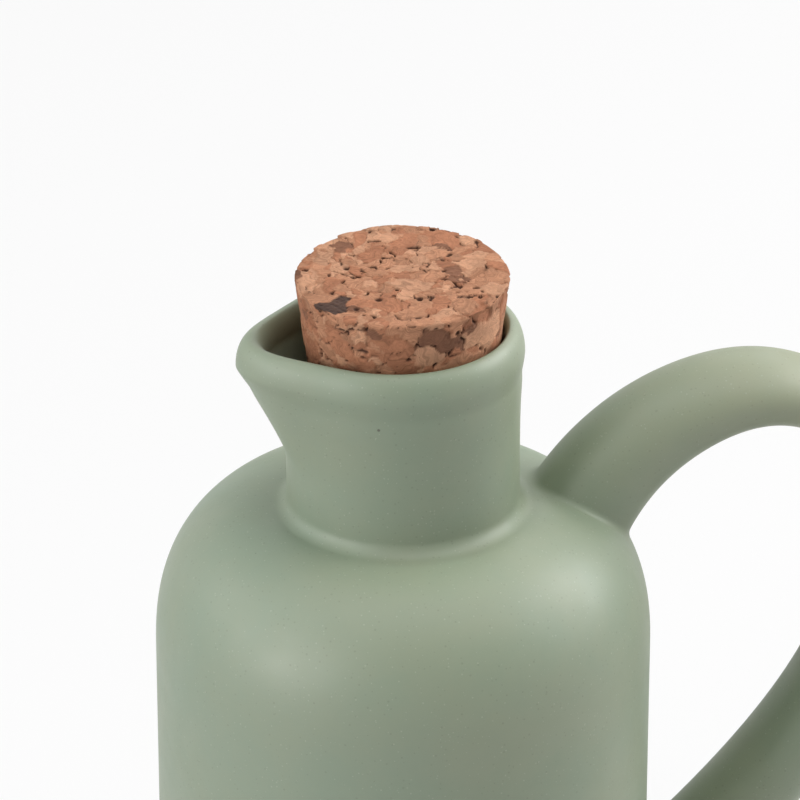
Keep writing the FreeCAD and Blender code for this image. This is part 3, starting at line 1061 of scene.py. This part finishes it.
def glaze_greens(nodes, glaze, clouds, body, place, second_place, axes):
    """Return the glaze's green: clouds of leaf in sage, cooler towards the spout.

    It turns a lighter warm grey outwards along X and upwards, over the handle's top, and in clouds of its
    own.
    """
    leafy = nodes.math("MULTIPLY", nodes.group(clouds, place, GREEN_CLOUDS), LEAF_STRENGTH)
    green = nodes.mix(leafy, glaze.sage, glaze.leaf)
    cool = nodes.ramp(axes["X"], body.radius * 0.2, -body.radius, 0.0, COOL_STRENGTH)
    green = nodes.mix(cool, green, glaze.cool)
    outwards = nodes.ramp(axes["X"], body.radius * 0.6, body.radius * 1.7, 0.0, WARM_STRENGTH)
    upwards = nodes.ramp(axes["Z"], body.shoulder_height * 0.7, body.shoulder_height * 1.05)
    warmer = nodes.math("MULTIPLY", outwards, upwards)
    warm = nodes.group(clouds, second_place, WARM_CLOUDS)
    warmer = nodes.math("MULTIPLY_ADD", warm, WARM_CLOUD_STRENGTH, warmer, clamp=True)
    return nodes.mix(warmer, green, glaze.warm_grey)


def root_painted_shade(nodes, body, place, axes):
    """Return where shade is painted into the crease at the neck's root, on the jug's front and back.

    It is 1 at the shoulder's top, fades above and below, and stays on the flat and near X = 0.
    """
    above = nodes.math("SUBTRACT", axes["Z"], body.shoulder_height + ROOT_SHADE_HEIGHT)
    root_shade = nodes.ramp(nodes.math("ABSOLUTE", above), ROOT_SHADE_HALF, 0.0)
    flat = nodes.add("ShaderNodeVectorMath", {0: place, 1: (1.0, 1.0, 0.0)}, operation="MULTIPLY")
    reach = nodes.add("ShaderNodeVectorMath", {0: flat.outputs["Vector"]}, operation="LENGTH")
    on_flat = nodes.ramp(reach.outputs["Value"], body.shoulder_flat + ROOT_SHADE_OUTSIDE,
                         body.shoulder_flat - ROOT_SHADE_INSIDE)
    root_shade = nodes.math("MULTIPLY", root_shade, on_flat)
    near_middle = nodes.ramp(nodes.math("ABSOLUTE", axes["X"]), ROOT_SHADE_FAR, ROOT_SHADE_NEAR)
    return nodes.math("MULTIPLY", root_shade, near_middle)


def glaze_material(glaze, dots, clouds, body):
    """Return the satin sage glaze: cloudy greens, pale specks, rare pinholes, painted shade at the neck's
    root and a bare clay base.
    """
    material, nodes, shader = material_with("Satin sage glaze")
    place = nodes.add("ShaderNodeTexCoord").outputs["Object"]
    moved = nodes.add("ShaderNodeMapping", {"Vector": place, "Location": SECOND_PLACE})
    second_place = moved.outputs[0]
    axes = nodes.add("ShaderNodeSeparateXYZ", {"Vector": place}).outputs
    base = glaze_greens(nodes, glaze, clouds, body, place, second_place, axes)
    specks = nodes.group(dots, place, PALE_SPECKS)
    dark = nodes.group(dots, second_place, DARK_SPECKS)
    pits = nodes.group(dots, second_place, PINHOLES)
    # Painted shade in the crease at the neck's root, on the front and back, mixed in with the pinhole
    # colour
    root_shade = root_painted_shade(nodes, body, place, axes)
    for mask, strength, colour_there in ((specks, PALE_STRENGTH, glaze.speck),
                                         (dark, DARK_STRENGTH, glaze.pinhole_and_shade),
                                         (pits, PINHOLE_STRENGTH, glaze.pinhole_and_shade),
                                         (root_shade, ROOT_SHADE_STRENGTH, glaze.pinhole_and_shade)):
        base = nodes.mix(nodes.math("MULTIPLY", mask, strength), base, colour_there)
    bare = nodes.ramp(axes["Z"], BARE_TOP, BARE_BELOW)
    nodes.feed(shader.inputs["Base Color"], nodes.mix(bare, base, glaze.bare_clay))
    uneven = nodes.noise(place, 90.0, 4.0, 0.6)
    roughness = nodes.ramp(uneven, 0.3, 0.7, glaze.roughness - ROUGHNESS_SWING,
                           glaze.roughness + ROUGHNESS_SWING)
    nodes.feed(shader.inputs["Roughness"], nodes.mix_value(bare, roughness, BARE_ROUGHNESS))
    shader.inputs["Specular IOR Level"].default_value = glaze.gloss
    wave = nodes.noise(place, 160.0, 3.0, 0.5)
    wave = nodes.math("SUBTRACT", wave, nodes.math("MULTIPLY", pits, 1.2))
    wave = nodes.math("MULTIPLY_ADD", specks, 0.15, wave)
    bump = nodes.add("ShaderNodeBump", {"Height": wave, "Strength": 0.12, "Distance": GLAZE_BUMP})
    nodes.feed(shader.inputs["Normal"], bump.outputs[0])
    nodes.add("ShaderNodeOutputMaterial", {"Surface": shader.outputs["BSDF"]})
    return material


def layer_tone(nodes, layer, fine_lines):
    """Return a chip's light and dark along its layers: fine lines, crossed by dark growth rings.

    A ring is dark where a slow noise passes through its middle value.
    """
    lined = nodes.ramp(fine_lines, 0.35, 0.7, 1.08, 0.86)
    rings = nodes.line_noise(layer, 520.0, 2.0, 0.5)
    ring = nodes.math("ABSOLUTE", nodes.math("SUBTRACT", rings, 0.5))
    return nodes.math("MULTIPLY", lined, nodes.ramp(ring, 0.0, 0.035, 0.78, 1.0))


def cork_material(cork, dots, clouds):
    """Return the agglomerated cork: each chip's own colour with fine layers, pores, dark seams between
    chips and painted shade in pits.
    """
    material, nodes, shader = material_with("Agglomerated cork")
    place = nodes.add("ShaderNodeTexCoord").outputs["Object"]
    chip = nodes.add("ShaderNodeAttribute", attribute_name="chip_colour").outputs["Color"]
    layer = nodes.add("ShaderNodeAttribute", attribute_name="chip_layers").outputs["Fac"]
    seam = nodes.add("ShaderNodeAttribute", attribute_name="chip_joint_and_pit_shade").outputs["Fac"]
    lines = nodes.line_noise(layer, 2300.0, 3.0, 0.6)
    cloud = nodes.group(clouds, place, CORK_CLOUDS)
    cloudy = nodes.ramp(cloud, 0.0, 1.0, 0.88, 1.12)
    tone = nodes.math("MULTIPLY", layer_tone(nodes, layer, lines), cloudy)
    tinted = nodes.add("ShaderNodeVectorMath", {0: chip, "Scale": tone}, operation="SCALE")
    pores = nodes.group(dots, place, PORES)
    base = nodes.mix(nodes.math("MULTIPLY", pores, 0.55), tinted.outputs[0], cork.brown)
    # Dark joints in the seams, and painted shade in the pits
    base = nodes.mix(nodes.ramp(seam, 0.1, 0.9, 0.0, 0.93), base, cork.joint_and_pit_shade)
    nodes.feed(shader.inputs["Base Color"], base)
    shader.inputs["Roughness"].default_value = 0.85
    shader.inputs["Specular IOR Level"].default_value = 0.25
    grain = nodes.math("MULTIPLY_ADD", lines, -0.5, cloud)
    grain = nodes.math("MULTIPLY_ADD", pores, -0.8, grain)
    bump = nodes.add("ShaderNodeBump", {"Height": grain, "Strength": 0.5, "Distance": CORK_BUMP})
    nodes.feed(shader.inputs["Normal"], bump.outputs[0])
    nodes.add("ShaderNodeOutputMaterial", {"Surface": shader.outputs["BSDF"]})
    return material


# ---------------------------------------------------------------- stage

FLOOR_REACH = 6.0
FLOOR_GREY = (0.70, 0.70, 0.70)
FLOOR_GLOW = 0.83          # how far the floor is lifted towards white where it is seen
SOFTBOX_DISTANCE = 1.2
SENSOR_WIDTH = 36          # millimetres, as the lens is
NEAREST_SEEN = 0.05

# Softboxes: name, heading and elevation in degrees, width and height in metres, the level at
# which each lights a matt white surface that faces it, and whether it is seen in reflections.
SOFTBOXES = (
    ("Right key", 97, 30, 0.80, 0.80, 0.75, True),
    ("Right accent", 78, 24, 0.60, 0.60, 0.22, True),
    ("Left side", -70, 15, 0.70, 0.60, 0.53, True),
    ("Left back", -110, 25, 0.80, 0.80, 0.20, True),
    ("Left top", -70, 60, 0.60, 0.60, 0.14, True),
    ("Right back", 145, 35, 0.70, 0.70, 0.13, True),
    ("Overhead", 30, 84, 0.90, 0.90, 0.43, False),
    ("Front top", 40, 58, 0.60, 0.60, 0.13, False),
)


def floor_material():
    """Return the matt floor, which the camera and reflections see lifted towards white."""
    material, nodes, shader = material_with("Pale floor")
    nodes.feed(shader.inputs["Base Color"], FLOOR_GREY)
    shader.inputs["Roughness"].default_value = 0.9
    shader.inputs["Specular IOR Level"].default_value = 0.1
    white = nodes.add("ShaderNodeEmission", {"Strength": 1.0})
    lifted = nodes.add("ShaderNodeMixShader", {0: nodes.math("MULTIPLY", nodes.seen(), FLOOR_GLOW),
                                               1: shader.outputs[0], 2: white.outputs[0]})
    nodes.add("ShaderNodeOutputMaterial", {"Surface": lifted.outputs[0]})
    return material


def floor_object():
    """Return a wide flat floor under the jug."""
    reach = FLOOR_REACH
    corners = [(-reach, -reach, 0), (reach, -reach, 0), (reach, reach, 0), (-reach, reach, 0)]
    mesh = bpy.data.meshes.new("floor")
    mesh.from_pydata(corners, [], [(0, 1, 2, 3)])
    mesh.materials.append(floor_material())
    floor = bpy.data.objects.new("floor", mesh)
    bpy.context.scene.collection.objects.link(floor)
    return floor


def direction(heading, elevation):
    """Return the unit vector at a heading, counted from -Y towards +X, and an elevation."""
    return Vector((math.sin(heading) * math.cos(elevation),
                   -math.cos(heading) * math.cos(elevation), math.sin(elevation)))


def soft_light(name, target, back, width, height, level, shows):
    """Add a rectangular soft light that faces the target and lights it to the level.

    Its power is the level times pi squared times the square of its distance.
    """
    light = bpy.data.lights.new(name, "AREA")
    light.shape = "RECTANGLE"
    light.size = width
    light.size_y = height
    light.energy = level * math.pi ** 2 * SOFTBOX_DISTANCE ** 2
    lamp = bpy.data.objects.new(name, light)
    lamp.location = target + back * SOFTBOX_DISTANCE
    lamp.rotation_euler = back.to_track_quat("Z", "Y").to_euler()
    lamp.visible_glossy = shows
    bpy.context.scene.collection.objects.link(lamp)


def set_world(scene, fill):
    """Light the scene evenly from all round, and show white to the camera and in reflections."""
    world = bpy.data.worlds.new("Studio")
    world.use_nodes = True
    nodes = NodeTree(world.node_tree)
    even = nodes.add("ShaderNodeBackground", {"Color": (1.0, 1.0, 1.0), "Strength": fill})
    white = nodes.add("ShaderNodeBackground", {"Color": (1.0, 1.0, 1.0), "Strength": 1.0})
    both = nodes.add("ShaderNodeMixShader", {0: nodes.seen(), 1: even.outputs[0], 2: white.outputs[0]})
    nodes.add("ShaderNodeOutputWorld", {"Surface": both.outputs[0]})
    scene.world = world


def set_camera(scene, stage, target):
    """Place the camera and aim it a little above and beside the middle of the shoulder."""
    back = direction(stage.camera_heading, stage.camera_elevation)
    right = Vector((math.cos(stage.camera_heading), math.sin(stage.camera_heading), 0))
    up = back.cross(right)
    data = bpy.data.cameras.new("Studio camera")
    data.lens = stage.lens
    data.sensor_width = SENSOR_WIDTH
    data.clip_start = NEAREST_SEEN
    camera = bpy.data.objects.new("Studio camera", data)
    camera.location = target + back * stage.camera_distance
    aim = target + up * stage.aim_up + right * stage.aim_right
    camera.rotation_euler = (camera.location - aim).to_track_quat("Z", "Y").to_euler()
    scene.collection.objects.link(camera)
    scene.camera = camera


# ---------------------------------------------------------------- operators

class OBJECT_OT_oil_jug_vessel(bpy.types.Operator):
    """Make the stoneware jug: body, neck, spout and loop handle in one mesh"""

    bl_idname = "object.oil_jug_vessel"
    bl_label = "Stoneware jug"

    def execute(self, context):
        scene = context.scene
        body, neck, handle = scene.oil_jug_body, scene.oil_jug_neck, scene.oil_jug_handle
        shells = [vessel_surface(body, neck), handle_surface(body, handle)]
        piece = grid_object("stoneware_jug", shells)
        dots = shared_group("Scattered dots", dot_group)
        clouds = shared_group("Cloudy variation", cloud_group)
        piece.data.materials.append(glaze_material(scene.oil_jug_glaze, dots, clouds, body))
        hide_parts("jug")
        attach(piece, "root")
        return {"FINISHED"}


class OBJECT_OT_oil_jug_cork(bpy.types.Operator):
    """Make the agglomerated cork stopper, chip by chip"""

    bl_idname = "object.oil_jug_cork"
    bl_label = "Cork stopper"

    def execute(self, context):
        scene = context.scene
        body, neck, cork = scene.oil_jug_body, scene.oil_jug_neck, scene.oil_jug_cork
        smooth, outward = cork_surface(cork, neck)
        shape = smooth.shape[:2]
        relief = cork_relief(cork, neck, smooth.reshape(-1, 3))
        height, kind, tone, seam, layers = (part.reshape(shape) for part in relief)
        grid = smooth + outward * height[..., None]
        grid = leaned(grid, cork) + [0, 0, body.shoulder_height + neck.seat_height]
        piece = grid_object("cork_stopper", [grid])
        set_colours(piece, "chip_colour", chip_colours(cork, kind, tone))
        set_attribute(piece, "chip_layers", layers)
        set_attribute(piece, "chip_joint_and_pit_shade", seam)
        dots = shared_group("Scattered dots", dot_group)
        clouds = shared_group("Cloudy variation", cloud_group)
        piece.data.materials.append(cork_material(cork, dots, clouds))
        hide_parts("cork")
        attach(piece, "root")
        return {"FINISHED"}


class OBJECT_OT_oil_jug_stage(bpy.types.Operator):
    """Make the pale floor, the soft lights and the camera"""

    bl_idname = "object.oil_jug_stage"
    bl_label = "Studio stage"

    def execute(self, context):
        scene = context.scene
        stage = scene.oil_jug_stage
        floor = floor_object()
        target = Vector((0, 0, scene.oil_jug_body.shoulder_height))
        for name, heading, elevation, width, height, level, shows in SOFTBOXES:
            back = direction(math.radians(heading), math.radians(elevation))
            soft_light(name, target, back, width, height, level * stage.brightness, shows)
        set_world(scene, stage.fill)
        set_camera(scene, stage, target)
        scene.view_settings.view_transform = "Standard"
        return {"FINISHED"}


# ---------------------------------------------------------------- panel and registration

GROUPS = {
    "oil_jug_body": OilJugBody,
    "oil_jug_neck": OilJugNeck,
    "oil_jug_handle": OilJugHandle,
    "oil_jug_glaze": OilJugGlaze,
    "oil_jug_cork": OilJugCork,
    "oil_jug_stage": OilJugStage,
}

OPERATORS = (OBJECT_OT_oil_jug_vessel, OBJECT_OT_oil_jug_cork, OBJECT_OT_oil_jug_stage)


class VIEW3D_PT_oil_jug(bpy.types.Panel):
    """The oil jug's sizes, colours and making steps"""

    bl_idname = "VIEW3D_PT_oil_jug"
    bl_label = "Oil jug"
    bl_space_type = "VIEW_3D"
    bl_region_type = "UI"
    bl_category = "Oil jug"

    def draw(self, context):
        layout = self.layout
        for group_name, group_class in GROUPS.items():
            box = layout.box()
            box.label(text=group_name.replace("oil_jug_", "").capitalize())
            for name in group_class.__annotations__:
                box.prop(getattr(context.scene, group_name), name)
        for operator in OPERATORS:
            layout.operator(operator.bl_idname)


def register():
    """Register the groups of sizes, the operators and the panel."""
    for name, group_class in GROUPS.items():
        bpy.utils.register_class(group_class)
        setattr(bpy.types.Scene, name, PointerProperty(type=group_class))
    for operator in OPERATORS:
        bpy.utils.register_class(operator)
    bpy.utils.register_class(VIEW3D_PT_oil_jug)


def unregister():
    """Take back what register added."""
    bpy.utils.unregister_class(VIEW3D_PT_oil_jug)
    for operator in reversed(OPERATORS):
        bpy.utils.unregister_class(operator)
    for name, group_class in reversed(GROUPS.items()):
        delattr(bpy.types.Scene, name)
        bpy.utils.unregister_class(group_class)


def main():
    """Make the jug, its cork and its stage."""
    register()
    bpy.ops.object.oil_jug_vessel()
    bpy.ops.object.oil_jug_cork()
    bpy.ops.object.oil_jug_stage()


if __name__ == "__main__":
    main()
